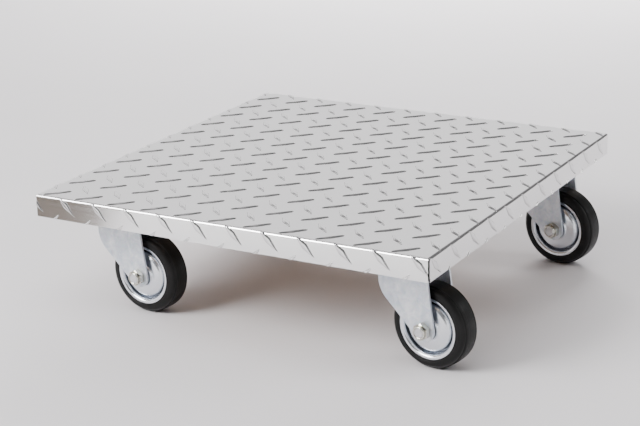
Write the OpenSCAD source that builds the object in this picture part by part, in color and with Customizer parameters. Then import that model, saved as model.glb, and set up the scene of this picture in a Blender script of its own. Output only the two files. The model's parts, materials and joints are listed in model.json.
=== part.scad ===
// Flatbed platform truck: a folded tread-plate tray over a plywood core, on four swivel castors.
// +X runs along the front edge, +Y towards the back and +Z up. The floor is z = 0, and the
// origin lies under the middle of the truck's own box with the castors as they rest.

/* [Platform] */
// Length of the platform along X
deck_l = 530; // [440:1:700]
// Depth of the platform along Y
deck_w = 542; // [440:1:700]
// Height of the folded edge, sheet included
flange_h = 27.5; // [22:0.5:40]
// Thickness of the aluminium sheet
skin_t = 2; // [1.5:0.1:2.5]
// Outside radius of the folded edges
fold_r = 3; // [2.6:0.1:5]
// Width of the open seam at each corner
seam_w = 0.8; // [0.4:0.1:2]
// Gap between the plywood core and the folded edges
core_gap = 0.5; // [0.3:0.1:2]

/* [Tread pattern] */
// Spacing of the raised lugs along X
lug_pitch_x = 47.3; // [40:0.1:60]
// Spacing of the raised lugs along Y
lug_pitch_y = 49.6; // [40:0.1:60]
// Distance from the left edge to the first column of lugs
lug_margin_x = 21.7; // [5:0.1:45]
// Distance from the back edge to the first row of lugs
lug_margin_y = 30.1; // [5:0.1:45]
// Length of one lug
lug_l = 34; // [20:0.5:38]
// Width of one lug at its middle
lug_w = 7; // [4:0.1:12]
// Height of the lugs above the sheet
lug_h = 1.2; // [0.8:0.1:2]

/* [Castor mounting] */
// Gap from the platform's edges to the mounting plates
plate_inset = 27; // [15:1:60]
// Mounting plate, size along X
plate_l = 85; // [70:1:110]
// Mounting plate, size along Y
plate_w = 105; // [85:1:130]
// Thickness of the mounting plate
plate_t = 2.5; // [2:0.1:4]
// Corner radius of the mounting plate
plate_r = 9; // [5:0.5:14]
// Distance from the plate's edges to the centres of its holes
hole_inset = 12.5; // [10:0.5:16]
// Play of the coach screws across the slotted holes
slot_play = 1; // [0.4:0.1:2]
// How far the coach screws can slide along the slotted holes
slot_travel = 3; // [2:0.5:7]
// Diameter of the coach screws
screw_d = 8; // [6:0.5:10]
// Length of the coach screws under the head
screw_l = 24; // [16:1:28]
// Coach screw head, across the flats
screw_af = 13; // [10:0.5:16]
// Height of the coach screw head
screw_head_h = 5.3; // [4:0.1:7]
// Outside diameter of the washers
washer_d = 17; // [14:0.5:21]
// Thickness of the washers
washer_t = 1.6; // [1:0.1:2.5]

/* [Swivel head] */
// Gap from the tyre up to the underside of the fork's crown
crown_gap = 16.1; // [12:0.1:30]
// Depth of the upper race under the mounting plate
race_t = 4.8; // [3.5:0.1:8]
// Distance from the swivel axis to the axle
trail = 41; // [34:0.5:50]
// Diameter of the swivel balls
ball_d = 5; // [4:0.1:6]
// Pitch radius of the upper ring of balls
upper_ring_r = 15.5; // [13:0.1:18]
// Pitch radius of the lower ring of balls
lower_ring_r = 11; // [10:0.1:13]
// Diameter of the king pin
king_pin_d = 12; // [10:0.5:14]
// Sheet thickness of the fork
fork_t = 2.5; // [2:0.1:3]
// Gap between the tyre and each fork arm
arm_gap = 5.5; // [4.5:0.1:8]
// Radius of the rounded end of each arm
arm_end_r = 13.8; // [11.5:0.1:17]
// Rest angles of the four castors, front left first and then anticlockwise
rest_turn = [-5, -8, -8, -6];

/* [Wheel] */
// Outside diameter of the tyre
tyre_d = 100; // [80:1:125]
// Width of the tyre at its side walls
tyre_w = 31; // [25:0.5:38]
// Height of the tyre's side walls outside the rim
side_wall_h = 12.75; // [10.5:0.05:16]
// Sheet thickness of the rim halves
rim_t = 1.5; // [1.2:0.1:1.8]
// Width of the groove round the rim's domed centre
rim_groove = 2.2; // [1.8:0.1:4]
// Diameter of the axle bolt
axle_d = 12; // [10:0.5:14]
// Bolt head and nut, across the flats
axle_af = 18; // [16:0.5:22]
// Wall of the clamped sleeve on the axle
sleeve_wall = 1.9; // [1.2:0.1:2.4]
// Diameter of the bearing rollers
roller_d = 3.5; // [2.9:0.1:4.2]
// Number of bearing rollers
roller_count = 10; // [8:1:11]
// Wall of the hub tube
hub_wall = 1.7; // [1.4:0.1:2.2]

/* [Hidden] */
$fn = 48;
CORNERS = ["front_left", "front_right", "rear_right", "rear_left"];
DECK_NODES = ["deck_skin", "deck_core", "plate_screws", "plate_washers"];
HEAD_NODES = ["mounting_plate", "king_pin", "swivel_balls", "dust_ring", "fork"];
AXLE_NODES = ["axle_bolt", "axle_nut", "axle_sleeve", "roller_cage", "rollers"];
WHEEL_NODES = ["hub_tube", "rim_outer", "rim_inner", "tyre"];
CASTOR_NODES = concat(HEAD_NODES, AXLE_NODES, WHEEL_NODES);

// clearances
RUN = 0.05;     // radial gap of a shaft in its hole
ROLL = 0.15;    // gap around balls and rollers
PART = 0.4;     // gap between sheet parts that turn past each other
EPS = 0.01;     // how far a cut reaches past a face

// swivel head, measured down from the top of the mounting plate
race_groove = 1.2;
crown_t = 3;
race_bottom = -plate_t - race_t;
upper_ball_z = race_bottom + race_groove - ball_d / 2;
crown_top = upper_ball_z - ball_d / 2 + race_groove;
crown_bottom = crown_top - crown_t;
lower_ball_z = crown_bottom + race_groove - ball_d / 2;
cup_top = lower_ball_z - ball_d / 2 + race_groove;
cup_t = 3;
cup_r = lower_ring_r + ball_d / 2 + 2;
race_r = upper_ring_r + ball_d / 2 + 1;
pin_head_h = 2.5;
pin_head_r = 9;
groove_r = ball_d / 2 + ROLL;
castor_h = tyre_d + crown_gap - crown_bottom;
axle_z = tyre_d / 2 - castor_h;

// mounting plate
hole_dx = plate_l - 2 * hole_inset;
hole_dy = plate_w - 2 * hole_inset;
slot_d = screw_d + slot_play;

// platform
deck_z = castor_h + flange_h;
swivel_x = deck_l / 2 - plate_inset - plate_l / 2;
swivel_y = deck_w / 2 - plate_inset - plate_w / 2;
corner_sign = [[-1, -1], [1, -1], [1, 1], [-1, 1]];
overhang = max(0, swivel_x + trail * cos(rest_turn[1]) + tyre_d / 2 - deck_l / 2);
deck_x = -overhang / 2;
lug_columns = floor((deck_l - lug_margin_x) / lug_pitch_x) + 1;
lug_rows = floor((deck_w - lug_margin_y) / lug_pitch_y) + 1;
lug_edge = 0.3;         // bare strip along the folded edges' lower rims
lug_min_area = 3;       // smaller scraps of a lug are left out
core_l = deck_l - 2 * (core_gap + fold_r);
core_w = deck_w - 2 * (core_gap + fold_r);

// fork
inner_w = tyre_w + 2 * arm_gap;
fork_w = inner_w + 2 * fork_t;
fork_bend = 2.5;
nose_r = 31;
fork_front = -20.2;
fork_rear = trail + 4;
slant_angle = 42.7;
slant_blend = 32;
arm_foot = [trail, axle_z] - arm_end_r * [sin(slant_angle), cos(slant_angle)];
slant_z = arm_foot[1] + (arm_foot[0] - fork_front) * tan(slant_angle);

// axle and bearing
sleeve_l = inner_w;
sleeve_r = axle_d / 2 + RUN + sleeve_wall;
roller_pitch_r = sleeve_r + ROLL + roller_d / 2;
hub_bore_r = roller_pitch_r + roller_d / 2 + ROLL;
hub_r = hub_bore_r + hub_wall;
hub_l = inner_w - 4;
roller_l = hub_l - 9;
cage_l = hub_l - 3;
cage_wall = 1.9;
bolt_head_h = 7.5;
nut_hex_h = 7.5;
nut_collar_h = 3;
nut_collar_r = 0.43 * axle_af;

// places -----------------------------------------------------------------

module on_platform() {
    translate([deck_x, 0, 0]) children();
}

module at_corner(i) {
    on_platform()
        translate([corner_sign[i][0] * swivel_x, corner_sign[i][1] * swivel_y, castor_h]) children();
}

module at_castor(i) {
    at_corner(i) rotate([0, 0, rest_turn[i]]) children();
}

// the wheel's own Z axis lies along the axle, and its +Z end faces the nut
module at_axle(i) {
    at_castor(i) translate([trail, 0, axle_z]) rotate([90, 0, 0]) children();
}

module at_plate_holes() {
    for (sx = [-1, 1]) for (sy = [-1, 1]) translate([sx * hole_dx / 2, sy * hole_dy / 2, 0]) children();
}

// shared shapes ----------------------------------------------------------

module tube(outer_r, inner_r, h) {
    difference() {
        cylinder(r = outer_r, h = h);
        translate([0, 0, -EPS]) cylinder(r = inner_r, h = h + 2 * EPS);
    }
}

module hexagon(af, h) {
    cylinder(r = af / sqrt(3), h = h, $fn = 6);
}

module torus(ring_r, r) {
    rotate_extrude() translate([ring_r, 0]) circle(r = r);
}

// points along an arc, from angle a0 to a1
function arc(centre, r, a0, a1, steps = 8) =
    [for (i = [0:steps]) let (a = a0 + (a1 - a0) * i / steps) centre + r * [cos(a), sin(a)]];

function unit(v) = v / norm(v);
function left_of(v) = [-v[1], v[0]];

// direction square to a path at point i, long enough to keep a sheet's thickness round the bend
function bend_normal(path, i) =
    let (
        last = len(path) - 1,
        a = unit(i == 0 ? path[1] - path[0] : path[i] - path[i - 1]),
        b = unit(i == last ? path[last] - path[last - 1] : path[i + 1] - path[i]),
        m = unit(left_of(a) + left_of(b))
    ) m / (m * left_of(a));

// outline of a sheet of thickness t whose middle follows the path
function sheet_outline(path, t) =
    let (last = len(path) - 1)
    concat(
        [for (i = [0:last]) path[i] + bend_normal(path, i) * t / 2],
        [for (i = [last:-1:0]) path[i] - bend_normal(path, i) * t / 2]
    );

// platform ---------------------------------------------------------------

// a bar's cross-section with round top corners; its top edge is y = 0
module round_top(w, h, r) {
    translate([-w / 2, -h]) square([w, h - r]);
    translate([-w / 2 + r, -r - EPS]) square([w - 2 * r, r + EPS]);
    for (s = [-1, 1]) translate([s * (w / 2 - r), -r]) circle(r = r);
}

module round_top_block(l, w, h, r) {
    intersection() {
        translate([-l / 2, 0, 0]) rotate([90, 0, 90]) linear_extrude(l) round_top(w, h, r);
        translate([0, w / 2, 0]) rotate([90, 0, 0]) linear_extrude(w) round_top(l, h, r);
    }
}

// the long lozenge of one lug, along X
lug_outline = [[-lug_l / 2, 0], [0, -lug_w / 2], [lug_l / 2, 0], [0, lug_w / 2]];

function turned(p, a) = [p[0] * cos(a) - p[1] * sin(a), p[0] * sin(a) + p[1] * cos(a)];

// lug outlines on the unfolded sheet: two crossed sets, half a pitch apart
lugs = [
    for (i = [-1:lug_columns]) for (j = [-1:lug_rows]) for (s = [0, 1])
        let (
            x = -deck_l / 2 + lug_margin_x + (i + s / 2) * lug_pitch_x,
            y = deck_w / 2 - lug_margin_y - (j + s / 2) * lug_pitch_y
        )
        [for (p = lug_outline) [x, y] + turned(p, s == 0 ? 45 : -45)]
];

// the part of a polygon where normal * p <= limit
function clipped(poly, normal, limit) = [
    for (i = [0:1:len(poly) - 1])
        let (
            p = poly[i],
            q = poly[(i + 1) % len(poly)],
            a = limit - normal * p,
            b = limit - normal * q
        )
        each concat(a >= 0 ? [p] : [], a * b < 0 ? [p + (q - p) * a / (a - b)] : [])
];

function clipped_box(poly, lo, hi) =
    clipped(clipped(clipped(clipped(poly, [1, 0], hi[0]), [-1, 0], -lo[0]), [0, 1], hi[1]), [0, -1], -lo[1]);

function total(v) = len(v) == 0 ? 0 : v * [for (i = [1:len(v)]) 1];

function area(poly) = abs(total([
    for (i = [0:1:len(poly) - 1]) let (p = poly[i], q = poly[(i + 1) % len(poly)]) p[0] * q[1] - p[1] * q[0]
])) / 2;

// raised lugs inside one rectangle of the unfolded sheet
module lug_field(lo, hi) {
    sunk = skin_t / 2;
    for (lug = lugs) {
        piece = clipped_box(lug, lo, hi);
        if (area(piece) > lug_min_area)
            translate([0, 0, -sunk]) linear_extrude(lug_h + sunk) polygon(piece);
    }
}

// lugs on the side that faces direction a: that strip of the sheet is folded down over its edge
module side_lugs(a) {
    edge = (a % 180 == 0 ? deck_l : deck_w) / 2;
    run = (a % 180 == 0 ? deck_w : deck_l) / 2 - fold_r;
    near = edge + fold_r;
    far = edge + flange_h - lug_edge;
    lo = a == 0 ? [near, -run] : a == 90 ? [-run, near] : a == 180 ? [-far, -run] : [-run, -far];
    hi = a == 0 ? [far, run] : a == 90 ? [run, far] : a == 180 ? [-near, run] : [run, -near];
    rotate([0, 0, a]) translate([edge, 0, 0]) rotate([0, 90, 0]) translate([-edge, 0, 0])
        rotate([0, 0, -a]) lug_field(lo, hi);
}

module deck_skin() color([0.80, 0.80, 0.81]) on_platform() translate([0, 0, deck_z]) {
    half = [deck_l / 2 - fold_r, deck_w / 2 - fold_r];
    difference() {
        round_top_block(deck_l, deck_w, flange_h, fold_r);
        translate([0, 0, -skin_t])
            round_top_block(deck_l - 2 * skin_t, deck_w - 2 * skin_t, flange_h, fold_r - skin_t);
        for (i = [0:3]) translate([corner_sign[i][0] * deck_l / 2, corner_sign[i][1] * deck_w / 2, 0])
            rotate([0, 0, 45 + 90 * (i % 2)])
                translate([-fold_r - 2, -seam_w / 2, -flange_h - EPS])
                    cube([2 * fold_r + 4, seam_w, flange_h - fold_r]);
    }
    lug_field(-half, half);
    for (a = [0:90:270]) side_lugs(a);
}

module deck_core() color([0.72, 0.58, 0.40]) difference() {
    on_platform() translate([-core_l / 2, -core_w / 2, castor_h]) cube([core_l, core_w, flange_h - skin_t]);
    for (i = [0:3]) at_corner(i) at_plate_holes()
        translate([0, 0, -EPS]) cylinder(d = screw_d + 2 * RUN, h = screw_l - plate_t - washer_t + EPS);
}

module plate_screws() color([0.75, 0.75, 0.76]) for (i = [0:3]) at_corner(i) at_plate_holes()
    translate([0, 0, -plate_t - washer_t]) {
        cylinder(d = screw_d, h = screw_l);
        translate([0, 0, -screw_head_h]) hexagon(screw_af, screw_head_h);
    }

module plate_washers() color([0.78, 0.78, 0.80]) for (i = [0:3]) at_corner(i) at_plate_holes()
    translate([0, 0, -plate_t - washer_t]) tube(washer_d / 2, screw_d / 2 + 2 * RUN, washer_t);

// swivel head ------------------------------------------------------------

module slot(h) {
    reach = slot_travel / 2;
    for (s = [-1, 1]) translate([0, s * reach, 0]) cylinder(d = slot_d, h = h);
    translate([-slot_d / 2, -reach, 0]) cube([slot_d, 2 * reach, h]);
}

module plate_blank() {
    for (sx = [-1, 1]) for (sy = [-1, 1])
        translate([sx * (plate_l / 2 - plate_r), sy * (plate_w / 2 - plate_r), -plate_t])
            cylinder(r = plate_r, h = plate_t);
    translate([-plate_l / 2 + plate_r, -plate_w / 2, -plate_t]) cube([plate_l - 2 * plate_r, plate_w, plate_t]);
    translate([-plate_l / 2, -plate_w / 2 + plate_r, -plate_t]) cube([plate_l, plate_w - 2 * plate_r, plate_t]);
}

module mounting_plate() color([0.74, 0.76, 0.80]) difference() {
    union() {
        plate_blank();
        translate([0, 0, race_bottom]) cylinder(r = race_r, h = race_t + plate_t / 2);
    }
    at_plate_holes() translate([0, 0, -plate_t - EPS]) slot(plate_t + 2 * EPS);
    translate([0, 0, upper_ball_z]) torus(upper_ring_r, groove_r);
    translate([0, 0, race_bottom - EPS]) cylinder(d = king_pin_d, h = race_t + plate_t + 2 * EPS);
}

module king_pin() color([0.70, 0.71, 0.74]) difference() {
    union() {
        translate([0, 0, cup_top]) cylinder(d = king_pin_d, h = -cup_top);
        translate([0, 0, cup_top - cup_t]) cylinder(r = cup_r, h = cup_t);
        translate([0, 0, cup_top - cup_t - pin_head_h]) cylinder(r = pin_head_r, h = pin_head_h);
    }
    translate([0, 0, lower_ball_z]) torus(lower_ring_r, groove_r);
}

module ball_ring(ring_r, z) {
    count = floor(360 / (2 * asin((ball_d / 2 + ROLL) / ring_r)));
    for (i = [0:count - 1]) rotate([0, 0, 360 * i / count]) translate([ring_r, 0, z]) sphere(d = ball_d);
}

module swivel_balls() color([0.85, 0.85, 0.87]) {
    ball_ring(upper_ring_r, upper_ball_z);
    ball_ring(lower_ring_r, lower_ball_z);
}

module dust_ring() color([0.18, 0.18, 0.19]) translate([0, 0, crown_top])
    tube(race_r + PART + 1.6, race_r + PART, -plate_t - PART - crown_top);

blend_reach = slant_blend * tan((90 - slant_angle) / 2);

// side view of the fork, in X and Z
function fork_outline() = concat(
    [[fork_front, crown_top - EPS]],
    arc([fork_front + slant_blend, slant_z + blend_reach], slant_blend, 180, 270 - slant_angle, 6),
    arc([trail, axle_z], arm_end_r, 270 - slant_angle, 364, 16),
    [[fork_rear, crown_top - EPS]]
);

module fork_channel(w, drop, r) {
    translate([-nose_r - 5, 0, crown_top - drop]) rotate([90, 0, 90])
        linear_extrude(nose_r + fork_rear + 40) round_top(w, castor_h, r);
}

module fork_blank() {
    intersection() {
        fork_channel(fork_w, 0, fork_bend + fork_t);
        union() {
            translate([0, fork_w / 2, 0]) rotate([90, 0, 0]) linear_extrude(fork_w) polygon(fork_outline());
            translate([0, 0, crown_bottom - 2]) cylinder(r = nose_r, h = crown_t + 2);
            translate([0, -fork_w / 2, crown_bottom - 2]) cube([fork_rear, fork_w, crown_t + 2]);
        }
    }
}

module fork() color([0.72, 0.74, 0.78]) difference() {
    fork_blank();
    fork_channel(inner_w, crown_t, fork_bend);
    translate([0, 0, upper_ball_z]) torus(upper_ring_r, groove_r);
    translate([0, 0, lower_ball_z]) torus(lower_ring_r, groove_r);
    translate([0, 0, crown_bottom - EPS]) cylinder(r = king_pin_d / 2 + 1, h = crown_t + 2 * EPS);
    translate([trail, fork_w, axle_z]) rotate([90, 0, 0]) cylinder(r = axle_d / 2 + RUN, h = 2 * fork_w);
}

// axle and bearing, along the wheel's own Z ---------------------------------

module axle_bolt() color([0.80, 0.80, 0.82]) translate([0, 0, -fork_w / 2]) {
    cylinder(d = axle_d, h = fork_w + nut_hex_h + nut_collar_h);
    translate([0, 0, -bolt_head_h]) hexagon(axle_af, bolt_head_h);
}

module axle_nut() color([0.83, 0.82, 0.76]) translate([0, 0, fork_w / 2]) difference() {
    union() {
        hexagon(axle_af, nut_hex_h);
        cylinder(r = nut_collar_r, h = nut_hex_h + nut_collar_h);
    }
    translate([0, 0, -EPS]) cylinder(r = axle_d / 2 + RUN, h = nut_hex_h + nut_collar_h + 2 * EPS);
}

module axle_sleeve() color([0.70, 0.70, 0.72]) translate([0, 0, -sleeve_l / 2])
    tube(sleeve_r, axle_d / 2 + RUN, sleeve_l);

module at_rollers() {
    for (i = [0:roller_count - 1]) rotate([0, 0, 360 * i / roller_count]) translate([roller_pitch_r, 0, 0]) children();
}

module rollers() color([0.86, 0.86, 0.88]) at_rollers() translate([0, 0, -roller_l / 2])
    cylinder(d = roller_d, h = roller_l);

module roller_cage() color([0.93, 0.92, 0.88]) difference() {
    translate([0, 0, -cage_l / 2]) tube(roller_pitch_r + cage_wall / 2, roller_pitch_r - cage_wall / 2, cage_l);
    at_rollers() translate([0, 0, -roller_l / 2 - ROLL]) cylinder(r = roller_d / 2 + ROLL, h = roller_l + 2 * ROLL);
}

// wheel, along its own Z ----------------------------------------------------

module hub_tube() color([0.68, 0.69, 0.72]) translate([0, 0, -hub_l / 2]) tube(hub_r, hub_bore_r, hub_l);

wall_w = tyre_w / 2;                        // side wall of the tyre
rim_r = tyre_d / 2 - side_wall_h;           // outside of the rolled lip
lip_bend = 3;
lip_flat = 1.05;
lip_step = 0.5;
channel_r = rim_r - lip_flat - lip_bend - lip_step;  // wall of the channel that holds the tyre
dome_r = channel_r - rim_t - rim_groove;
collar_r = hub_r + rim_t / 2;
disc_w = wall_w - 1.3;                      // face of the domed centre
dome_edge_r = 3;
groove_bend = (channel_r - dome_r) / 2;
groove_w = groove_bend + rim_t / 2 + RUN;
lip_w = wall_w + 0.3 - rim_t / 2;

// middle of the pressed sheet of one rim half, in radius and distance from the wheel's centre plane
rim_path = concat(
    [[collar_r, hub_l / 2], [collar_r, disc_w + 2], [collar_r + 1.2, disc_w + 0.6], [dome_r - dome_edge_r, disc_w - 1]],
    arc([dome_r - dome_edge_r, disc_w - 1 - dome_edge_r], dome_edge_r, 60, 0, 3),
    arc([dome_r + groove_bend, groove_w], groove_bend, 180, 360, 6),
    arc([channel_r + lip_step + lip_bend, lip_w - lip_bend], lip_bend, 180, 90, 4),
    [[rim_r, lip_w]]
);

module rim_half() {
    rotate_extrude() polygon(sheet_outline(rim_path, rim_t));
}

module rim_outer() color([0.82, 0.84, 0.88]) rim_half();

module rim_inner() color([0.82, 0.84, 0.88]) mirror([0, 0, 1]) rim_half();

tread_r = tyre_d / 2;
shoulder_r = 6;
shoulder_w = wall_w * 0.62;
seat_r = channel_r + lip_step + rim_t / 2 + 2 * RUN;
under_lip_w = lip_w - rim_t / 2 - 2 * RUN;
lip_seat_r = rim_r + 2 * RUN;

// half of the tyre's cross-section, from the seat out under the lip to the tread
tyre_half = concat(
    [[seat_r, 0], [seat_r, lip_w - lip_bend], [seat_r + 2, under_lip_w], [lip_seat_r, under_lip_w]],
    [[lip_seat_r, wall_w]],
    arc([tread_r - 8, wall_w - shoulder_r], shoulder_r, 90, 45, 3),
    [[tread_r - 1.1, shoulder_w + 0.8], [tread_r - 0.4, shoulder_w], [tread_r, 0]]
);

module tyre() color([0.07, 0.07, 0.07]) rotate_extrude()
    polygon(concat(tyre_half, [for (i = [len(tyre_half) - 2:-1:1]) [tyre_half[i][0], -tyre_half[i][1]]]));

// assembly ---------------------------------------------------------------

module shown(piece, i) {
    children();
}

deck_skin();
deck_core();
plate_screws();
plate_washers();
for (i = [0:3]) {
    shown("mounting_plate", i) at_corner(i) mounting_plate();
    shown("king_pin", i) at_corner(i) king_pin();
    shown("swivel_balls", i) at_castor(i) swivel_balls();
    shown("dust_ring", i) at_castor(i) dust_ring();
    shown("fork", i) at_castor(i) fork();
    shown("axle_bolt", i) at_axle(i) axle_bolt();
    shown("axle_nut", i) at_axle(i) axle_nut();
    shown("axle_sleeve", i) at_axle(i) axle_sleeve();
    shown("roller_cage", i) at_axle(i) roller_cage();
    shown("rollers", i) at_axle(i) rollers();
    shown("hub_tube", i) at_axle(i) hub_tube();
    shown("rim_outer", i) at_axle(i) rim_outer();
    shown("rim_inner", i) at_axle(i) rim_inner();
    shown("tyre", i) at_axle(i) tyre();
}
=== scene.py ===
import json
import math

import bmesh
import bpy
from mathutils import Matrix, Vector
from mathutils.geometry import delaunay_2d_cdt


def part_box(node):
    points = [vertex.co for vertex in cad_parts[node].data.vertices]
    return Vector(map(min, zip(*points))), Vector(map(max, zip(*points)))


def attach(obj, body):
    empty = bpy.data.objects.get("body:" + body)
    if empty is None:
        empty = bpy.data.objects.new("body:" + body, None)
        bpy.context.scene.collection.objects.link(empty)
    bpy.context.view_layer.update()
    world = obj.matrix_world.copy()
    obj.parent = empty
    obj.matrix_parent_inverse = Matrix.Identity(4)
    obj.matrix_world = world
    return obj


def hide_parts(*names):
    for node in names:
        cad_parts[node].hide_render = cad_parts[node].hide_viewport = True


MM = 0.001
CORNERS = ("front_left", "front_right", "rear_right", "rear_left")

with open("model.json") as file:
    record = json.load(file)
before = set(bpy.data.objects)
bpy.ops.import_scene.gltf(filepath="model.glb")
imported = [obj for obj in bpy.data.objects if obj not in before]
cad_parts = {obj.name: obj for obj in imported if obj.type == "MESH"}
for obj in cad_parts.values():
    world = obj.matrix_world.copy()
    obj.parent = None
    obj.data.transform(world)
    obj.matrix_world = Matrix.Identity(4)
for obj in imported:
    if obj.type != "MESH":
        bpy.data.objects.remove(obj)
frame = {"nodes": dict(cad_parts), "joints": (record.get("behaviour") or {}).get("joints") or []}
NODES = frame["nodes"]
JOINTS = {j["name"]: j for j in frame["joints"]}
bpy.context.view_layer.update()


# node materials ---------------------------------------------------------------

class Nodes:
    """Short ways to add nodes to a tree and to join them."""

    def __init__(self, tree):
        self.tree = tree
        self.tree.nodes.clear()

    def add(self, kind, **settings):
        node = self.tree.nodes.new(kind)
        for key, value in settings.items():
            setattr(node, key, value)
        return node

    def feed(self, socket, value):
        if isinstance(value, bpy.types.NodeSocket):
            self.tree.links.new(value, socket)
        else:
            socket.default_value = value

    def span(self, value, low, high, start=0.3, end=0.7, kind="LINEAR"):
        """Goes from low to high while the value goes from start to end."""
        node = self.add("ShaderNodeMapRange", interpolation_type=kind)
        self.feed(node.inputs["Value"], value)
        for key, number in (("From Min", start), ("From Max", end), ("To Min", low), ("To Max", high)):
            node.inputs[key].default_value = number
        return node.outputs["Result"]

    def ramp(self, value, *stops):
        """Colours for a value; each stop is a place from 0 to 1 and its colour."""
        node = self.add("ShaderNodeValToRGB")
        self.feed(node.inputs["Fac"], value)
        elements = node.color_ramp.elements
        while len(elements) < len(stops):
            elements.new(0.5)
        for element, (place, colour) in zip(elements, stops):
            element.position = place
            element.color = (*colour, 1)
        return node.outputs["Color"]

    def mix(self, factor, a, b, kind="MIX"):
        """Mixes two colours; a Mix node's colours are its sockets 6 and 7, and 2 among its outputs."""
        node = self.add("ShaderNodeMix", data_type="RGBA", blend_type=kind)
        self.feed(node.inputs[0], factor)
        self.feed(node.inputs[6], a)
        self.feed(node.inputs[7], b)
        return node.outputs[2]

    def math(self, kind, a, b):
        node = self.add("ShaderNodeMath", operation=kind)
        self.feed(node.inputs[0], a)
        self.feed(node.inputs[1], b)
        return node.outputs[0]


class Graph(Nodes):
    """One Principled material and the nodes that feed it."""

    def __init__(self, name, **constants):
        self.mat = bpy.data.materials.new(name)
        self.mat.use_nodes = True
        super().__init__(self.mat.node_tree)
        out = self.add("ShaderNodeOutputMaterial")
        self.bsdf = self.add("ShaderNodeBsdfPrincipled")
        self.feed(out.inputs["Surface"], self.bsdf.outputs["BSDF"])
        self.coord = self.add("ShaderNodeTexCoord").outputs["Object"]
        for key, value in constants.items():
            self.bsdf.inputs[key.replace("_", " ")].default_value = value

    def attribute(self, name):
        return self.add("ShaderNodeAttribute", attribute_name=name).outputs["Fac"]

    def stretched(self, scale):
        """Coordinates that draw a pattern out along the axis with the smallest scale."""
        node = self.add("ShaderNodeMapping")
        self.feed(node.inputs["Vector"], self.coord)
        node.inputs["Scale"].default_value = scale
        return node.outputs["Vector"]

    def noise(self, scale, detail=3.0, rough=0.55, vector=None, warp=0.0):
        node = self.add("ShaderNodeTexNoise")
        self.feed(node.inputs["Vector"], vector or self.coord)
        node.inputs["Scale"].default_value = scale
        node.inputs["Detail"].default_value = detail
        node.inputs["Roughness"].default_value = rough
        node.inputs["Distortion"].default_value = warp
        return node.outputs["Fac"]

    def spangle(self, scale):
        """One random colour for each crystal."""
        node = self.add("ShaderNodeTexVoronoi")
        self.feed(node.inputs["Vector"], self.coord)
        node.inputs["Scale"].default_value = scale
        return node.outputs["Color"]

    def bump(self, height, strength, distance, below=None):
        node = self.add("ShaderNodeBump")
        self.feed(node.inputs["Height"], height)
        node.inputs["Strength"].default_value = strength
        node.inputs["Distance"].default_value = distance
        if below is not None:
            self.feed(node.inputs["Normal"], below)
        return node.outputs["Normal"]

    def finish(self, colour, rough, normal=None):
        """Joins what is given to the shader, and returns the material."""
        self.feed(self.bsdf.inputs["Base Color"], colour)
        self.feed(self.bsdf.inputs["Roughness"], rough)
        if normal is not None:
            self.feed(self.bsdf.inputs["Normal"], normal)
        return self.mat


def tread_plate():
    """Rolled aluminium with drawn streaks. Its lugs are darker and smoother, with a painted shade line round
    their feet.
    """
    g = Graph("tread_plate", Metallic=1.0)
    streaks = g.noise(1.0, 4, 0.6, g.stretched((5, 700, 700)))
    hazy = g.noise(7, 3)
    speck = g.noise(900, 2)
    lug_rise = g.attribute("lug")
    pale = g.ramp(streaks, (0.30, (0.86, 0.855, 0.86)), (0.70, (0.90, 0.895, 0.90)))
    tone = g.mix(g.span(hazy, 0.0, 0.35), pale, (0.85, 0.84, 0.835, 1))
    # darker and smoother towards each lug's crest
    bright = g.mix(g.span(lug_rise, 0.0, 0.9, 0.25, 0.8), tone, (0.80, 0.795, 0.80, 1))
    # painted shade: a dark outline round the foot of each lug
    bright = g.mix(g.span(g.attribute("foot"), 0.0, 0.85, 0.15, 0.9), bright, (0.36, 0.35, 0.35, 1))
    rough = g.math("ADD", g.span(streaks, 0.13, 0.19), g.span(speck, 0.0, 0.04))
    rough = g.math("SUBTRACT", rough, g.span(lug_rise, 0.0, 0.05, 0.5, 1.0))
    fine = g.bump(streaks, 0.04, 0.00010)
    return g.finish(bright, rough, g.bump(hazy, 0.06, 0.002, fine))


def tread_plate_shaded():
    """The sheet's hidden inner faces and mitred ends: dull and dark, painted shade that also darkens the
    seams.
    """
    g = Graph("tread_plate_shaded", Metallic=0.6)
    cloud = g.noise(60, 4, 0.6)
    grain = g.noise(1400, 2)
    colour = g.ramp(cloud, (0.3, (0.05, 0.05, 0.052)), (0.7, (0.11, 0.108, 0.105)))
    return g.finish(colour, g.span(cloud, 0.5, 0.7), g.bump(grain, 0.2, 0.0001))


def plywood():
    """Veneer with wavy grain and fine fibres on the two faces, and near-black edges: painted shade for where
    they show through the sheet's seams.
    """
    g = Graph("plywood", Specular_IOR_Level=0.35)
    wavy = g.add("ShaderNodeTexWave", wave_type="BANDS", bands_direction="Y")
    g.feed(wavy.inputs["Vector"], g.stretched((0.9, 9, 9)))
    wavy.inputs["Scale"].default_value = 2.2
    wavy.inputs["Distortion"].default_value = 9.0
    wavy.inputs["Detail"].default_value = 3.0
    wavy.inputs["Detail Scale"].default_value = 1.4
    fibre = g.noise(1.0, 5, 0.65, g.stretched((14, 900, 900)))
    patch = g.noise(5, 2)
    grain = g.ramp(wavy.outputs["Fac"], (0.0, (0.30, 0.22, 0.16)), (0.55, (0.41, 0.31, 0.23)),
                   (1.0, (0.50, 0.40, 0.31)))
    hairs = g.ramp(fibre, (0.35, (0.27, 0.20, 0.145)), (0.60, (0.50, 0.41, 0.32)))
    colour = g.mix(0.45, grain, hairs)
    colour = g.mix(g.span(patch, 0.0, 0.3), colour, (0.44, 0.34, 0.25, 1))
    facing = g.add("ShaderNodeSeparateXYZ")
    g.feed(facing.inputs[0], g.add("ShaderNodeNewGeometry").outputs["True Normal"])
    upright = g.math("ABSOLUTE", facing.outputs["Z"], 0.0)
    # painted shade: the upright edges are near black
    colour = g.mix(g.span(upright, 1.0, 0.0, 0.3, 0.6), colour, (0.012, 0.011, 0.010, 1))
    return g.finish(colour, g.span(fibre, 0.52, 0.74), g.bump(fibre, 0.35, 0.0003))


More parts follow.
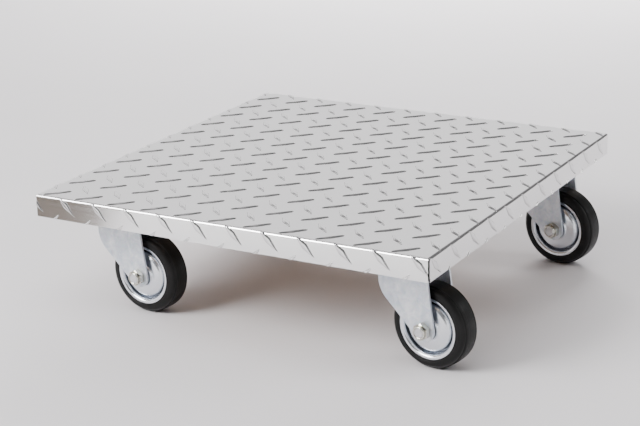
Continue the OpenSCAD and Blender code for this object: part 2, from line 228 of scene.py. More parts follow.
def zinc(name, dark, light, rough_low, rough_high, blotch=70, relief=0.12, metal=1.0):
    """Plated steel: cloudy and streaked, lightly spangled, with painted shade where a mesh is marked with
    it.
    """
    g = Graph(name, Metallic=metal)
    cloud = g.noise(blotch, 5, 0.62, warp=0.6)
    grain = g.noise(1800, 2)
    between = tuple((a + b) / 2 for a, b in zip(dark, light))
    base = g.ramp(cloud, (0.30, dark), (0.52, between), (0.72, light))
    colour = g.mix(0.10, base, g.spangle(blotch * 6), "OVERLAY")
    drawn = g.noise(1.0, 3, 0.6, g.stretched((110, 110, 22)))
    colour = g.mix(g.span(drawn, 0.0, 0.5, 0.35, 0.75), colour, (*dark, 1))
    # painted shade where a mesh marks it: the nut's foot and its collar's corner
    colour = g.mix(g.attribute("painted_shade"), colour, (0.12, 0.11, 0.08, 1))
    rough = g.math("ADD", g.span(cloud, rough_high, rough_low), g.span(grain, 0.0, 0.06))
    fine = g.bump(grain, relief, 0.00008)
    return g.finish(colour, rough, g.bump(cloud, 0.10, 0.0006, fine))


def bright_rim():
    """Bluish bright plating with fine turning marks, and painted shade where the mesh is marked with it."""
    g = Graph("bright_rim", Metallic=1.0)
    cloud = g.noise(45, 4, 0.6, warp=0.4)
    rings = g.add("ShaderNodeTexWave", wave_type="RINGS", rings_direction="Y")
    g.feed(rings.inputs["Vector"], g.coord)
    rings.inputs["Scale"].default_value = 420
    rings.inputs["Distortion"].default_value = 1.2
    colour = g.ramp(cloud, (0.3, (0.74, 0.775, 0.83)), (0.7, (0.86, 0.88, 0.91)))
    # painted shade: darkens the groove round the dome
    colour = g.mix(g.attribute("painted_shade"), colour, (0.05, 0.065, 0.10, 1))
    rough = g.math("ADD", g.span(cloud, 0.16, 0.24), g.span(rings.outputs["Fac"], 0.0, 0.03))
    return g.finish(colour, rough, g.bump(rings.outputs["Fac"], 0.05, 0.00004))


def black_rubber():
    """Dark rubber with a trace of dust and fine moulded lines round it, spaced along the tyre's profile."""
    g = Graph("black_rubber", Specular_IOR_Level=0.18)
    cloud = g.noise(28, 4, 0.6)
    grain = g.noise(2600, 2, 0.7)
    lines = g.add("ShaderNodeTexNoise", noise_dimensions="1D")
    g.feed(lines.inputs["W"], g.attribute("along"))
    lines.inputs["Scale"].default_value = 0.75
    lines.inputs["Detail"].default_value = 3.0
    dust = g.noise(160, 4, 0.7, warp=0.5)
    colour = g.ramp(cloud, (0.3, (0.004, 0.004, 0.004)), (0.7, (0.009, 0.009, 0.009)))
    colour = g.mix(g.span(dust, 0.0, 0.06, 0.55, 0.8), colour, (0.09, 0.086, 0.082, 1))
    rough = g.math("ADD", g.span(cloud, 0.28, 0.38), g.span(grain, 0.0, 0.08))
    moulded = g.bump(lines.outputs["Fac"], 0.5, 0.0006)
    return g.finish(colour, rough, g.bump(grain, 0.12, 0.00008, moulded))


def bearing_steel():
    """Polished steel under an uneven film of grease."""
    g = Graph("bearing_steel", Metallic=1.0)
    cloud = g.noise(300, 3)
    oil = g.noise(90, 3, warp=0.8)
    colour = g.ramp(cloud, (0.3, (0.66, 0.66, 0.67)), (0.7, (0.80, 0.80, 0.81)))
    colour = g.mix(g.span(oil, 0.0, 0.3, 0.5, 0.75), colour, (0.50, 0.46, 0.38, 1))
    return g.finish(colour, g.span(oil, 0.10, 0.26), g.bump(cloud, 0.05, 0.00005))


def plastic(name, dark, light, rough_low, rough_high):
    """Moulded plastic with a fine grain."""
    g = Graph(name, Specular_IOR_Level=0.4)
    cloud = g.noise(120, 4)
    grain = g.noise(2200, 2)
    colour = g.ramp(cloud, (0.3, dark), (0.7, light))
    return g.finish(colour, g.span(cloud, rough_low, rough_high), g.bump(grain, 0.3, 0.00008))


ZINC_DARK, ZINC_LIGHT = (0.52, 0.57, 0.65), (0.94, 0.95, 0.97)
MATERIALS = {
    "tread_plate": tread_plate(),
    "tread_plate_shaded": tread_plate_shaded(),
    "plywood": plywood(),
    "zinc_pressing": zinc("zinc_pressing", ZINC_DARK, ZINC_LIGHT, 0.30, 0.46, metal=0.65),
    "zinc_fastener": zinc("zinc_fastener", (0.62, 0.63, 0.65), (0.80, 0.80, 0.81), 0.20, 0.32, 150),
    "yellow_zinc": zinc("yellow_zinc", (0.58, 0.57, 0.50), (0.86, 0.85, 0.80), 0.12, 0.22, 190, 0.03),
    "bearing_steel": bearing_steel(),
    "bright_rim": bright_rim(),
    "black_rubber": black_rubber(),
    "black_plastic": plastic("black_plastic", (0.030, 0.030, 0.033), (0.050, 0.050, 0.052), 0.45, 0.60),
    "cage_plastic": plastic("cage_plastic", (0.74, 0.72, 0.64), (0.84, 0.82, 0.76), 0.38, 0.52),
}
# the material of each CAD node that is shown as it is
SLOTS = {
    "deck_core": "plywood", "plate_screws": "zinc_fastener", "plate_washers": "zinc_fastener",
    "mounting_plate": "zinc_pressing", "king_pin": "zinc_pressing", "swivel_balls": "bearing_steel",
    "dust_ring": "black_plastic", "fork": "zinc_pressing", "axle_sleeve": "bearing_steel",
    "roller_cage": "cage_plastic", "rollers": "bearing_steel", "hub_tube": "bearing_steel",
}


# mesh helpers -------------------------------------------------------------------

def mesh_object(name, verts, faces, material, sharp_deg, matrix):
    """A smooth-shaded object, with a hard edge wherever two faces meet at more than sharp_deg."""
    mesh = bpy.data.meshes.new(name)
    place, rotation, _ = matrix.decompose()
    mesh.from_pydata([rotation @ (Vector(v) * MM) for v in verts], [], faces)
    mesh.validate()
    bm = bmesh.new()
    bm.from_mesh(mesh)
    bmesh.ops.recalc_face_normals(bm, faces=bm.faces)
    bm.to_mesh(mesh)
    bm.free()
    mesh.shade_smooth()
    mesh.set_sharp_from_angle(angle=math.radians(sharp_deg))
    mesh.materials.append(material)
    obj = bpy.data.objects.new(name, mesh)
    bpy.context.scene.collection.objects.link(obj)
    obj.location = place
    return obj


def mark(obj, name, values):
    """Gives each point of a mesh a number that its material reads."""
    obj.data.attributes.new(name, "FLOAT", "POINT").data.foreach_set("value", values)


def piece(obj, body, slot, *stands_for):
    """Ties an object to its body, and hides the CAD nodes that it stands for. The slot is not used."""
    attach(obj, body)
    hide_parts(*stands_for)


def arc(centre, radius, start, end, steps):
    """Points along an arc, with angles in degrees."""
    angles = [math.radians(start + (end - start) * i / steps) for i in range(steps + 1)]
    return [(centre[0] + radius * math.cos(a), centre[1] + radius * math.sin(a)) for a in angles]


def ring_grid(name, rings, material, sharp_deg, matrix):
    """Joins equally long closed rings of points into a tube; the last ring joins the first one."""
    count = len(rings[0])
    verts = [p for ring in rings for p in ring]
    faces = []
    for i in range(len(rings)):
        n = (i + 1) % len(rings)
        for k in range(count):
            m = (k + 1) % count
            faces.append((i * count + k, i * count + m, n * count + m, n * count + k))
    return mesh_object(name, verts, faces, material, sharp_deg, matrix)


def circle_ring(radius, z, count):
    turns = [2 * math.pi * k / count for k in range(count)]
    return [(radius * math.cos(t), radius * math.sin(t), z) for t in turns]


def revolve(name, profile, material, matrix, segments, sharp_deg):
    """A closed profile of (radius, height) points turned about local Z."""
    rings = [circle_ring(r, z, segments) for r, z in profile]
    return ring_grid(name, rings, material, sharp_deg, matrix)


SHARPEST_MITRE = 0.5                             # a corner sharper than this cosine keeps a blunt mitre


def sheet_profile(path, thickness):
    """The outline of a bent sheet whose middle follows the path."""
    normals = []
    for i, p in enumerate(path):
        a = Vector(p) - Vector(path[i - 1]) if i else Vector(path[1]) - Vector(p)
        b = Vector(path[i + 1]) - Vector(p) if i < len(path) - 1 else a
        a.normalize()
        b.normalize()
        m = Vector((-a.y - b.y, a.x + b.x)).normalized()
        normals.append(m / max(SHARPEST_MITRE, m.dot(Vector((-a.y, a.x)))))
    outer = [Vector(p) + n * thickness / 2 for p, n in zip(path, normals)]
    inner = [Vector(p) - n * thickness / 2 for p, n in zip(path, normals)]
    return [tuple(p) for p in outer + inner[::-1]]


# folded tread plate ----------------------------------------------------------------

LUG_PITCH_X, LUG_PITCH_Y = 47.3, 49.6
LUG_MARGIN_X, LUG_MARGIN_Y = 21.7, 30.1          # from the left and the far edge to the first lug's centre
LUG_LENGTH, LUG_WIDTH, LUG_HEIGHT = 34.0, 7.0, 1.2
LUG_ROUND, LUG_HOLLOW = 0.8, 0.28                # rounding of a lug's tips, and how much its sides curve in
LUG_REACH = 12.0                                 # half a lug's length, seen along an edge of the sheet
LUG_STATIONS = (-1, -0.96, -0.7, -0.35, 0, 0.35, 0.7, 0.96)
RIDGE_STATIONS = (-1, -0.5, 0, 0.5, 1)
# (share of the width, share of the length, share of the height) from just outside a lug's foot to its crest
LUG_RINGS = ((1.34, 1.04, 0.0), (1.0, 1.0, 0.03), (0.86, 0.965, 0.50), (0.62, 0.89, 0.80),
             (0.28, 0.72, 0.97), (0.0, 0.50, 1.0))
FOOT_SHADE_RING, FOOT_SHADE_SPREAD = 1, 0.9                 # the darkest ring of the painted shade round a lug's foot, and how many rings away it ends
LEVEL_STEPS = 18                                 # halvings that find how far up its rings a point lies
LUG_CELL = 40                                    # grid for finding the lugs near a point
SKIN, FOLD_R = 2.0, 3.0
SEAM = 2.1                                       # wider than the CAD's, to show as dark as in the photo
BEND_STEPS = 6
SHEET_SHARP = 62                                 # degrees
NEARLY, ON_EDGE = 1e-6, 0.01                     # allowances, in mm

lo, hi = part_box("deck_skin")
deck_l = (hi.x - lo.x) / MM - 2 * LUG_HEIGHT
deck_w = (hi.y - lo.y) / MM - 2 * LUG_HEIGHT
deck_mid = Vector(((lo.x + hi.x) / 2, (lo.y + hi.y) / 2, hi.z - LUG_HEIGHT * MM))
flange = (deck_mid.z - lo.z) / MM
edge_x, edge_y = deck_l / 2, deck_w / 2
flat_x, flat_y = edge_x - FOLD_R, edge_y - FOLD_R


def lug_half_width(t):
    """Half the lug's width at share t of its half-length: a lozenge with hollow sides and rounded tips."""
    sharp = (LUG_WIDTH / 2 - LUG_ROUND) * (1 - t) * (1 - LUG_HOLLOW * t)
    return sharp + LUG_ROUND * math.sqrt(max(0, 1 - t * t))


def lug_level(p, q):
    """How far up its rings a point of a lug lies, at p along it and q across it."""
    def inside(level):
        i = min(int(level), len(LUG_RINGS) - 2)
        f = level - i
        wide = LUG_RINGS[i][0] * (1 - f) + LUG_RINGS[i + 1][0] * f
        long = (LUG_RINGS[i][1] * (1 - f) + LUG_RINGS[i + 1][1] * f) * LUG_LENGTH / 2
        half_width = wide * lug_half_width(min(1, abs(p) / long))
        return abs(p) <= long + NEARLY and abs(q) <= half_width + NEARLY

    if not inside(0):
        return 0.0
    low, high = 0.0, float(len(LUG_RINGS) - 1)
    if inside(high):
        return high
    for _ in range(LEVEL_STEPS):
        middle = (low + high) / 2
        low, high = (middle, high) if inside(middle) else (low, middle)
    return low


def lug_share(level):
    """Height share at a level: none outside the foot, and all of it at the crest."""
    i = min(int(level), len(LUG_RINGS) - 2)
    return LUG_RINGS[i][2] + (LUG_RINGS[i + 1][2] - LUG_RINGS[i][2]) * (level - i)


def lug_places():
    """Centre and diagonal of every lug of the pattern; some lie past the unfolded sheet."""
    for i in range(-1, int((deck_l - LUG_MARGIN_X) / LUG_PITCH_X) + 2):
        for j in range(-1, int((deck_w - LUG_MARGIN_Y) / LUG_PITCH_Y) + 2):
            for half, turn in ((0.0, 1), (0.5, -1)):
                yield (-edge_x + LUG_MARGIN_X + (i + half) * LUG_PITCH_X,
                       edge_y - LUG_MARGIN_Y - (j + half) * LUG_PITCH_Y, turn)


def flare(distance):
    """How far a folded side reaches past the flat's corner, at that distance past the flat's edge."""
    step = 2 * FOLD_R / BEND_STEPS
    at = min(distance / step, BEND_STEPS)
    i = min(int(at), BEND_STEPS - 1)

    def reach(k):
        angle = math.pi / 2 * k / BEND_STEPS
        return FOLD_R * math.sin(angle) - SEAM / math.sqrt(2) * math.sin(angle) ** 2

    return reach(i) + (reach(i + 1) - reach(i)) * (at - i)


def in_sheet(u, v):
    """Whether a point lies on the unfolded sheet."""
    u, v = abs(u), abs(v)
    if u > edge_x + flange or v > edge_y + flange:
        return False
    if v <= flat_y or u <= flat_x:
        return True
    return v <= flat_y + flare(u - flat_x) or u <= flat_x + flare(v - flat_y)


def folded(u, v, height):
    """Where a point of the unfolded sheet lies once its sides are folded down."""
    over_x, over_y = abs(u) - flat_x, abs(v) - flat_y
    if max(over_x, over_y) <= 0:
        return (u, v, height)
    along_x = over_x > over_y
    over = max(over_x, over_y)
    flat = flat_x if along_x else flat_y
    other_flat = flat_y if along_x else flat_x
    other = v if along_x else u
    angle = math.pi / 2 * min(1, over / (2 * FOLD_R))
    radius = FOLD_R + height
    out = flat + radius * math.sin(angle)
    drop = -FOLD_R + radius * math.cos(angle) - max(0, over - 2 * FOLD_R)
    if height < 0:
        full = other_flat + flare(over)
        other *= (full + height * math.sin(angle)) / full
    if along_x:
        return (math.copysign(out, u), other, drop)
    return (other, math.copysign(out, v), drop)


def outline_and_folds():
    """The unfolded sheet's outline, and the lines where its bends are divided."""
    points, folds = [], []
    steps = [2 * FOLD_R * k / BEND_STEPS for k in range(BEND_STEPS + 1)]
    for sx, sy in ((1, 1), (-1, 1), (-1, -1), (1, -1)):
        right = [(sx * (edge_x + flange), sy * (flat_y + flare(flange)))]
        right += [(sx * (flat_x + d), sy * (flat_y + flare(d))) for d in reversed(steps)]
        top = [(sx * (flat_x + flare(d)), sy * (flat_y + d)) for d in steps[1:]]
        top += [(sx * (flat_x + flare(flange)), sy * (edge_y + flange))]
        points += right + top if sx * sy > 0 else (right + top)[::-1]
    for d in steps:
        for s in (-1, 1):
            u, v = s * (flat_x + d), flat_y + flare(d)
            folds.append(((u, -v), (u, v)))
            u, v = flat_x + flare(d), s * (flat_y + d)
            folds.append(((-u, v), (u, v)))
    return points, folds


def triangulated(loops, lines):
    """Triangles of the unfolded sheet that keep every loop and line as edges."""
    points, edges = [], []
    for loop in loops:
        first = len(points)
        points += [Vector(p) for p in loop]
        edges += [(first + i, first + (i + 1) % len(loop)) for i in range(len(loop))]
    for line in lines:
        first = len(points)
        points += [Vector(p) for p in line]
        edges += [(first + i, first + i + 1) for i in range(len(line) - 1)]
    verts, _, faces, *_ = delaunay_2d_cdt(points, edges, [], 0, 1e-4, False)
    kept = []
    for face in faces:
        centre = sum((verts[i] for i in face), Vector((0, 0))) / len(face)
        if in_sheet(*centre):
            kept.append(tuple(face))
    return verts, kept


def lugs_on_sheet():
    """Centre and directions, along and across, of every lug that lies on the sheet at least in part."""
    lugs = []
    for x, y, turn in lug_places():
        if abs(x) > edge_x + flange + LUG_REACH or abs(y) > edge_y + flange + LUG_REACH:
            continue
        along = Vector((1, turn)).normalized()
        lugs.append((x, y, along, Vector((-along.y, along.x))))
    return lugs


def lug_lines(x, y, along, across):
    """The closed outlines of a lug's rings, and the ridge line of its crest."""
    centre = Vector((x, y))
    rings = []
    for wide, long, _ in LUG_RINGS[:-1]:
        side = [(t * LUG_LENGTH / 2 * long, wide * lug_half_width(abs(t))) for t in LUG_STATIONS]
        ring = side + [(-p, -q) for p, q in side]
        rings.append([centre + along * p + across * q for p, q in ring])
    tip = LUG_RINGS[-1][1] * LUG_LENGTH / 2
    return rings, [centre + along * tip * t for t in RIDGE_STATIONS]


def level_finder(lugs):
    """Returns a function that gives the highest level that any lug has at a point of the sheet."""
    by_cell = {}
    for lug in lugs:
        by_cell.setdefault((int(lug[0] // LUG_CELL), int(lug[1] // LUG_CELL)), []).append(lug)

    def level_at(u, v):
        best = 0.0
        cell = (int(u // LUG_CELL), int(v // LUG_CELL))
        for i in (-1, 0, 1):
            for j in (-1, 0, 1):
                for x, y, along, across in by_cell.get((cell[0] + i, cell[1] + j), ()):
                    d = Vector((u - x, v - y))
                    if d.length < LUG_LENGTH / 2 + 0.1:
                        best = max(best, lug_level(d.dot(along), d.dot(across)))
        return best

    return level_at


def open_edges(faces):
    """The edges that only one face has, each in the direction that its face runs."""
    seen = {}
    for face in faces:
        for a, b in zip(face, face[1:] + face[:1]):
            seen.setdefault((min(a, b), max(a, b)), []).append((a, b))
    return [sides[0] for sides in seen.values() if len(sides) == 1]


def round_the_border(edges):
    """The points of a closed chain of edges, in order."""
    after = dict(edges)
    border = [edges[0][0]]
    while after[border[-1]] != border[0]:
        border.append(after[border[-1]])
    return border


def on_free_edge(p):
    """Whether a point of the unfolded sheet lies on the lower edge of a folded side."""
    return max(abs(p.x) - edge_x, abs(p.y) - edge_y) > flange - ON_EDGE


def rounded(p):
    """A point of the unfolded sheet, to a hundredth of a millimetre."""
    return (round(p.x, 2), round(p.y, 2))


def deck_sheet():
    outline, folds = outline_and_folds()
    lugs = lugs_on_sheet()
    loops, ridges = [outline], []
    for lug in lugs:
        rings, ridge = lug_lines(*lug)
        loops += rings
        ridges.append(ridge)
    verts, faces = triangulated(loops, folds + ridges)

    used = sorted({i for face in faces for i in face})
    number = {old: new for new, old in enumerate(used)}
    flat = [verts[i] for i in used]
    faces = [tuple(number[i] for i in face) for face in faces]
    level_at = level_finder(lugs)
    levels = [level_at(*p) for p in flat]
    heights = [lug_share(level) for level in levels]
    # painted shade round each lug, darkest at its foot ring
    foot_shades = [max(0.0, 1 - abs(level - FOOT_SHADE_RING) / FOOT_SHADE_SPREAD) for level in levels]
    points = [folded(p.x, p.y, share * LUG_HEIGHT) for p, share in zip(flat, heights)]

    # the sheet's underside follows the same border, and a strip along the border closes the two
    strip = open_edges(faces)
    under, under_faces = triangulated([[tuple(flat[i]) for i in round_the_border(strip)]], folds)
    start, outside = len(points), len(faces)
    points += [folded(p.x, p.y, -SKIN) for p in under]
    faces += [tuple(start + i for i in reversed(face)) for face in under_faces]
    below = {rounded(p): start + i for i, p in enumerate(under)}
    # faces marked False get the dark inside material: painted shade on the underside and the mitred ends
    bright = [True] * outside + [False] * len(under_faces)
    for a, b in strip:
        faces.append((b, a, below[rounded(flat[a])], below[rounded(flat[b])]))
        bright.append(on_free_edge(flat[a]) and on_free_edge(flat[b]))

    place = Matrix.Translation(deck_mid)
    obj = mesh_object("deck_sheet", points, faces, MATERIALS["tread_plate"], SHEET_SHARP, place)
    # the second material is painted shade
    obj.data.materials.append(MATERIALS["tread_plate_shaded"])
    obj.data.polygons.foreach_set("material_index", [0 if shown else 1 for shown in bright])
    underside = [0.0] * len(under)
    mark(obj, "lug", heights + underside)
    # the foot attribute carries the painted shade round the lugs' feet
    mark(obj, "foot", foot_shades + underside)
    even = obj.modifiers.new("even_normals", "WEIGHTED_NORMAL")
    even.keep_sharp = True
    piece(obj, "platform", "tread_plate", "deck_skin")


deck_sheet()


# wheels -------------------------------------------------------------------------------

RIM_T = 1.5
HUB_R, HUB_END, HUB_FLAT, HUB_BEND = 13.45, 19.0, 1.8, 1.9      # the collar round the hub tube
DOME_R, DOME_BEND, DOME_Z = 29.0, 6.6, 7.9       # the domed disc, and the height its outer bend ends at
GROOVE_BEND, GROOVE_Z = 1.85, 2.65               # the groove round the dome
LIP_R, LIP_FLAT, LIP_BEND, LIP_Z = 37.25, 1.05, 3.0, 15.05       # the lip beside the tyre
SHADE_TOP, SHADE_DEPTH = 11.5, 7.0               # where the painted shade starts, and how far below that it is full
SHADE_R, SHADE_HALF = 30.4, 2.4                  # the middle of the painted shade's band, and half its width
NUT_SHADE_H, CORNER_SHADE_H = 3.0, 0.5           # the painted shade's reach up the nut, and from the collar's corner
RIM_SHADE, NUT_SHADE = 0.5, 0.55                 # the painted shade's strength where it is full
FORK_HALF = 23.5                                 # half the fork's outer width, where the nut bears on it
NUT_AF, NUT_H, COLLAR_H, COLLAR_R, BOLT_R = 18.0, 7.5, 3.0, 7.74, 6.0
COLLAR_ROUND, HEAD_H = 0.9, 7.5
THREAD_L, THREAD_PITCH, THREAD_DEPTH, THREAD_END = 8.0, 1.2, 0.45, 1.6
FACE_SHARE, CHAMFER_DEG = 0.965, 28              # the round end face of a hexagon, and its corners' slope
RIM_SEGMENTS, TYRE_SEGMENTS, RING_POINTS = 112, 128, 96
RIM_SHARP, TYRE_SHARP, NUT_SHARP = 35, 28, 24    # degrees


def rim_profile():
    """The outline of one rim half, from its hub collar out to the lip beside the tyre."""
    neck = HUB_R + RIM_T / 2
    path = [(neck, HUB_END), (neck, HUB_END - HUB_FLAT)]
    path += arc((neck + HUB_BEND, HUB_END - HUB_FLAT), HUB_BEND, 180, 262, 5)[1:]
    path += [(18.0, 15.1), (20.0, 14.95), (21.6, 14.7)]
    path += arc((DOME_R - DOME_BEND, DOME_Z), DOME_BEND, 84, 0, 12)
    path += arc((DOME_R + GROOVE_BEND, GROOVE_Z), GROOVE_BEND, 180, 360, 10)
    path += [(33.0, 8.0)]
    path += arc((LIP_R - LIP_FLAT, LIP_Z - LIP_BEND), LIP_BEND, 180, 90, 8)
    path += [(LIP_R, LIP_Z)]
    return sheet_profile(path, RIM_T)


def tyre_profile():
    """Half of the profile from the bead to the tread, and its mirror image."""
    half = [(33.95, 0.0), (33.95, 12.0), (35.2, 14.1), (37.35, 14.2), (37.35, 15.0)]
    half += arc((37.9, 14.95), 0.55, 180, 90, 3)[1:]
    half += [(39.6, 15.5), (39.9, 15.25), (40.3, 15.25), (40.6, 15.45), (42.4, 15.3)]
    half += arc((42.6, 9.6), 5.6, 86, 30, 8)
    half += [(48.15, 11.2), (48.2, 10.6), (48.9, 10.25), (49.4, 9.9)]
    half += [(49.42, 9.0), (49.2, 8.8), (49.2, 8.5), (49.66, 8.3)]
    half += [(49.8, 6.0), (49.92, 3.0), (49.98, 0.0)]
    return half + [(r, -z) for r, z in half[-2:0:-1]]


def hexagon_ring(radius_limit, half_flats, z):
    """A ring of points at one height, held inside both a hexagon and a circle."""
    ring = []
    for k in range(RING_POINTS):
        t = 2 * math.pi * k / RING_POINTS
        fold = (t + math.pi / 6) % (math.pi / 3) - math.pi / 6
        r = min(radius_limit, half_flats / math.cos(fold))
        ring.append((r * math.cos(t), r * math.sin(t), z))
    return ring


def hexagon_rings(half_flats, z0, z1, top=True):
    """Rings of a hexagonal body from z0 up to z1, chamfered at z0 and, where top is set, at z1 too."""
    face_r = half_flats * FACE_SHARE
    corner_r = half_flats / math.cos(math.pi / 6)
    slope = math.tan(math.radians(CHAMFER_DEG))
    shares = (0.0, 0.35, 0.7, 1.0)
    up = [(face_r + (corner_r + 0.01 - face_r) * s, (corner_r - face_r) * s * slope) for s in shares]
    rings = [hexagon_ring(r, half_flats, z0 + d) for r, d in up]
    rings += [hexagon_ring(r, half_flats, z1 - (d if top else 0)) for r, d in reversed(up)]
    return rings


def circles(*pairs):
    return [circle_ring(radius, z, RING_POINTS) for radius, z in pairs]


def nut_rings():
    """A hexagon nut with the round collar of its locking insert."""
    z0, z1 = FORK_HALF, FORK_HALF + NUT_H
    z2 = z1 + COLLAR_H
    rings = circles((BOLT_R + 0.05, z0)) + hexagon_rings(NUT_AF / 2, z0, z1)
    rings += circles((COLLAR_R + 0.25, z1), (COLLAR_R, z1 + 0.3), (COLLAR_R, z2 - 1.0))
    rings += circles(*arc((COLLAR_R - COLLAR_ROUND, z2 - COLLAR_ROUND), COLLAR_ROUND, 0, 90, 5))
    rings += circles((BOLT_R + 0.45, z2), (BOLT_R + 0.3, z2 - 0.35), (BOLT_R + 0.05, z2 - 0.5))
    return rings


def bolt_rings():
    """A hexagon bolt from its head to its threaded tip, which shows in the nut's collar."""
    z0 = -FORK_HALF - HEAD_H
    tip = FORK_HALF + NUT_H + COLLAR_H
    rings = circles((0.2, z0 + 0.35), (5.2, z0 + 0.35), (5.7, z0))
    rings += hexagon_rings(NUT_AF / 2, z0, -FORK_HALF, top=False)
    rings += circles((BOLT_R, -FORK_HALF), (BOLT_R, tip - THREAD_L))
    z = tip - THREAD_L
    while z < tip - THREAD_END:
        rings += circles((BOLT_R - 0.02, z), (BOLT_R - THREAD_DEPTH, z + THREAD_PITCH / 2))
        z += THREAD_PITCH
    rings += circles((BOLT_R - 0.05, tip - 0.9), (BOLT_R - 0.9, tip - 0.05))
    rings += circles((BOLT_R - 1.4, tip), (1.2, tip - 0.18), (0.2, tip - 0.2))
    return rings


def shaded_rim(rim):
    """Marks how much painted shade darkens the rim: most of it down in the groove round the domed centre."""
    values = []
    for r, z in rim_profile():
        depth = min(1, max(0, (SHADE_TOP - z) / SHADE_DEPTH))
        near = min(1, max(0, 1 - abs(r - SHADE_R) / SHADE_HALF) * 3)
        # painted shade, deepest low in the groove
        values += [RIM_SHADE * depth * near] * RIM_SEGMENTS
    mark(rim, "painted_shade", values)
    return rim


def shaded_nut(nut):
    """Marks painted shade at the nut's foot and in the corner where its collar starts."""
    values = []
    for ring in nut_rings():
        height = ring[0][2] - FORK_HALF
        foot = max(0.0, 1 - height / NUT_SHADE_H)
        corner = max(0.0, 1 - abs(height - NUT_H - 0.1) / CORNER_SHADE_H)
        # painted contact shadow at the nut's foot and the collar's corner
        values += [NUT_SHADE * max(foot, corner)] * RING_POINTS
    mark(nut, "painted_shade", values)
    return nut


def lined(rubber):
    """Marks how far along its profile every point of a tyre lies, for the fine moulded lines round it."""
    profile, values, total = tyre_profile(), [], 0.0
    for i, p in enumerate(profile):
        total += math.dist(p, profile[i - 1]) if i else 0.0
        values += [total] * TYRE_SEGMENTS
    mark(rubber, "along", values)
    return rubber


def axle_matrix(corner):
    """The axle's frame at rest: its Z runs along the axle towards the nut, and its Y is up."""
    joint = JOINTS["wheel_spin_" + corner]
    z = -Vector(joint["axis"]).normalized()
    y = Vector((0, 0, 1))
    x = y.cross(z)
    turn = Matrix((x, y, z)).transposed().to_4x4()
    return Matrix.Translation(Vector(joint["pos_m"])) @ turn


def rim_half(name, matrix):
    return shaded_rim(revolve(name, rim_profile(), MATERIALS["bright_rim"], matrix, RIM_SEGMENTS, RIM_SHARP))


for corner in CORNERS:
    axle = axle_matrix(corner)
    flipped = axle @ Matrix.Rotation(math.pi, 4, "X")
    wheel, castor = "wheel_" + corner, "castor_" + corner
    piece(rim_half("rim_face_" + corner, axle), wheel, "bright_rim", "rim_outer_" + corner)
    piece(rim_half("rim_back_" + corner, flipped), wheel, "bright_rim", "rim_inner_" + corner)
    rubber = revolve("tyre_tread_" + corner, tyre_profile(), MATERIALS["black_rubber"], axle, TYRE_SEGMENTS,
                     TYRE_SHARP)
    piece(lined(rubber), wheel, "black_rubber", "tyre_" + corner)
    nut = ring_grid("lock_nut_" + corner, nut_rings(), MATERIALS["yellow_zinc"], NUT_SHARP, axle)
    piece(shaded_nut(nut), castor, "yellow_zinc", "axle_nut_" + corner)
    bolt = ring_grid("bolt_" + corner, bolt_rings(), MATERIALS["zinc_fastener"], NUT_SHARP, axle)
    piece(bolt, castor, "zinc_fastener", "axle_bolt_" + corner)


# the remaining CAD nodes keep their shape, with softened edges -----------------------------

# bevel widths in mm
BEVELS = {"fork": 0.5, "mounting_plate": 0.4, "king_pin": 0.3, "plate_screws": 0.35, "plate_washers": 0.2,
          "dust_ring": 0.2, "deck_core": 0.4}

for name, node in NODES.items():
    if node.hide_render:
        continue
    kind = next(k for k in SLOTS if name == k or name.startswith(k + "_"))
    node.data.materials.clear()
    node.data.materials.append(MATERIALS[SLOTS[kind]])
    if kind in BEVELS:
        bevel = node.modifiers.new("soft_edges", "BEVEL")
        bevel.width = BEVELS[kind] * MM
        bevel.segments = 2
        bevel.limit_method = "ANGLE"
        bevel.angle_limit = math.radians(35)


# studio --------------------------------------------------------------------------------------

def stage_material(name, colour, other, scale):
    """A matt surface that wavers between two colours."""
    g = Graph(name)
    return g.finish(g.ramp(g.noise(scale, 2), (0.35, colour), (0.65, other)), 0.9)


def card(name, corners, material):
    """A flat sheet of the studio."""
    mesh = bpy.data.meshes.new(name)
    mesh.from_pydata([Vector(c) for c in corners], [], [tuple(range(len(corners)))])
    mesh.materials.append(material)
    obj = bpy.data.objects.new(name, mesh)
    bpy.context.scene.collection.objects.link(obj)
    return obj


def only_mirrored(obj):
    """Keeps a card out of sight, so that it shows only in the bright metal and shades nothing."""
    obj.visible_camera = obj.visible_diffuse = obj.visible_shadow = False


FLOOR = 9.0                                       # half its side, in metres like the rest of the studio
floor_mat = stage_material("floor", (0.790, 0.762, 0.780), (0.810, 0.782, 0.800), 2)
card("floor", [(x * FLOOR, y * FLOOR, 0) for x, y in ((-1, -1), (1, -1), (1, 1), (-1, 1))], floor_mat)

# two cards just above the floor, laid out from a point under the left end of the front edge, along the line
# in which that edge mirrors the floor for the camera
CARD_Z = 0.004
foot = Vector((-0.235, -0.275, CARD_Z))
ray = Vector((-0.501, -0.865, 0))
side = Vector((ray.y, -ray.x, 0))

# a brown board that only the left end of the front edge mirrors
near, far = foot + ray * 0.25, foot + ray * 1.6
board_mat = stage_material("board", (0.055, 0.038, 0.024), (0.085, 0.062, 0.042), 6)
only_mirrored(card("board", [near, far, far + side * 0.8, near + side * 0.8], board_mat))

# a white reflector beside it, that the rest of the front edge mirrors
near, far = foot + ray * 0.36 - side * 0.02, foot + ray * 1.5 - side * 0.02
reflector_mat = stage_material("reflector", (0.90, 0.89, 0.88), (0.92, 0.91, 0.90), 3)
only_mirrored(card("reflector", [near, far, (0.25, -1.5, CARD_Z), (0.25, -0.60, CARD_Z)], reflector_mat))


def area_light(name, place, target, size, watts, mirrored=True):
    """A white rectangular lamp at a place, aimed at a target."""
    data = bpy.data.lights.new(name, "AREA")
    data.shape = "RECTANGLE"
    data.size, data.size_y = size
    data.energy = watts
    obj = bpy.data.objects.new(name, data)
    obj.location = place
    obj.rotation_euler = (Vector(target) - Vector(place)).to_track_quat("-Z", "Y").to_euler()
    obj.visible_glossy = mirrored
    bpy.context.scene.collection.objects.link(obj)


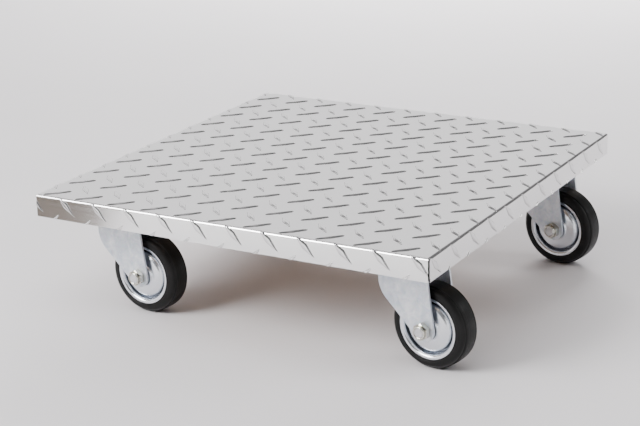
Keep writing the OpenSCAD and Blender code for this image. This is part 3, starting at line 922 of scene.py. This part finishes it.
area_light("ceiling_light", (0, 0, 5.0), (0, 0, 0), (15, 15), 300, mirrored=False)
area_light("softbox_top", (0.45, -0.9, 2.4), (0.3, -0.5, 0), (2.2, 1.8), 24, mirrored=False)
area_light("softbox_front", (-1.35, -2.2, 1.75), (0.6, -0.8, 0), (1.5, 1.3), 132)
area_light("softbox_right", (2.2, 0.95, 1.5), (0, 0, 0.1), (0.8, 0.7), 16)
area_light("softbox_far", (-0.8, 2.5, 1.5), (-0.75, 2.1, 0), (2.2, 0.9), 130, mirrored=False)

# a pale room with a darker ceiling; heights are the upward part of a unit direction
WALLS_END, WALLS_GONE = 0.37, 0.46
GLOW_START, GLOW_FULL = 0.68, 0.95
CEILING, WALLS, GLOW = (0.18, 0.178, 0.18), (1.45, 1.43, 1.445), (0.08, 0.079, 0.08)
# two dark flags: the right-hand fold mirrors the first, behind, and the lugs' edges on the front the second
FLAGS = (((0.42, 0.83, 0.37), 0.84, 0.93), ((0.10, -0.95, 0.27), 0.87, 0.94))
# a bright panel in the ceiling that the front fold mirrors just above its edge
PANEL = ((-0.477, 0.401, 0.782), 0.950, 0.975)

world = bpy.data.worlds.new("studio")
world.use_nodes = True
room = Nodes(world.node_tree)
direction = room.add("ShaderNodeTexCoord").outputs["Generated"]
upward = room.add("ShaderNodeSeparateXYZ")
room.feed(upward.inputs[0], direction)
height = upward.outputs["Z"]


def toward(aim, edge, middle, outside, inside):
    """One value all round and another towards aim; edge and middle are cosines of the angle to it."""
    node = room.add("ShaderNodeVectorMath", operation="DOT_PRODUCT")
    room.feed(node.inputs[0], direction)
    room.feed(node.inputs[1], aim)
    return room.span(node.outputs["Value"], outside, inside, edge, middle, "SMOOTHSTEP")


lit = room.span(height, 1.0, 0.0, WALLS_END, WALLS_GONE, "SMOOTHSTEP")
for flag in FLAGS:
    lit = room.math("MULTIPLY", lit, toward(*flag, 1.0, 0.0))
lit = room.math("MAXIMUM", lit, toward(*PANEL, 0.0, 1.0))
glow = room.span(height, 0.0, 1.0, GLOW_START, GLOW_FULL, "SMOOTHSTEP")
background = room.add("ShaderNodeBackground")
colour = room.mix(glow, room.ramp(lit, (0, CEILING), (1, WALLS)), (*GLOW, 1), "ADD")
room.feed(background.inputs["Color"], colour)
world_out = room.add("ShaderNodeOutputWorld")
room.feed(world_out.inputs["Surface"], background.outputs["Background"])
bpy.context.scene.world = world
world.cycles_visibility.diffuse = False      # the lamps alone light the floor, and the room is only mirrored

# camera at the photo's own angle
CAMERA_FROM_DECK = Vector((1.0143, -1.8064, 0.6220))
turn, rise, roll = (math.radians(a) for a in (29.873, 18.403, 1.414))
back = Vector((math.sin(turn) * math.cos(rise), -math.cos(turn) * math.cos(rise), math.sin(rise)))
right = (-back).cross(Vector((0, 0, 1))).normalized()
down = (-back).cross(right)
right_r = math.cos(roll) * right + math.sin(roll) * down
down_r = -math.sin(roll) * right + math.cos(roll) * down
camera_data = bpy.data.cameras.new("camera")
camera_data.sensor_width = 36.0
camera_data.lens = 95.79
camera_data.clip_end = 60.0
camera = bpy.data.objects.new("camera", camera_data)
camera.matrix_world = (Matrix.Translation(deck_mid + CAMERA_FROM_DECK)
                       @ Matrix((right_r, -down_r, back)).transposed().to_4x4())
bpy.context.scene.collection.objects.link(camera)
bpy.context.scene.camera = camera

bpy.context.view_layer.update()
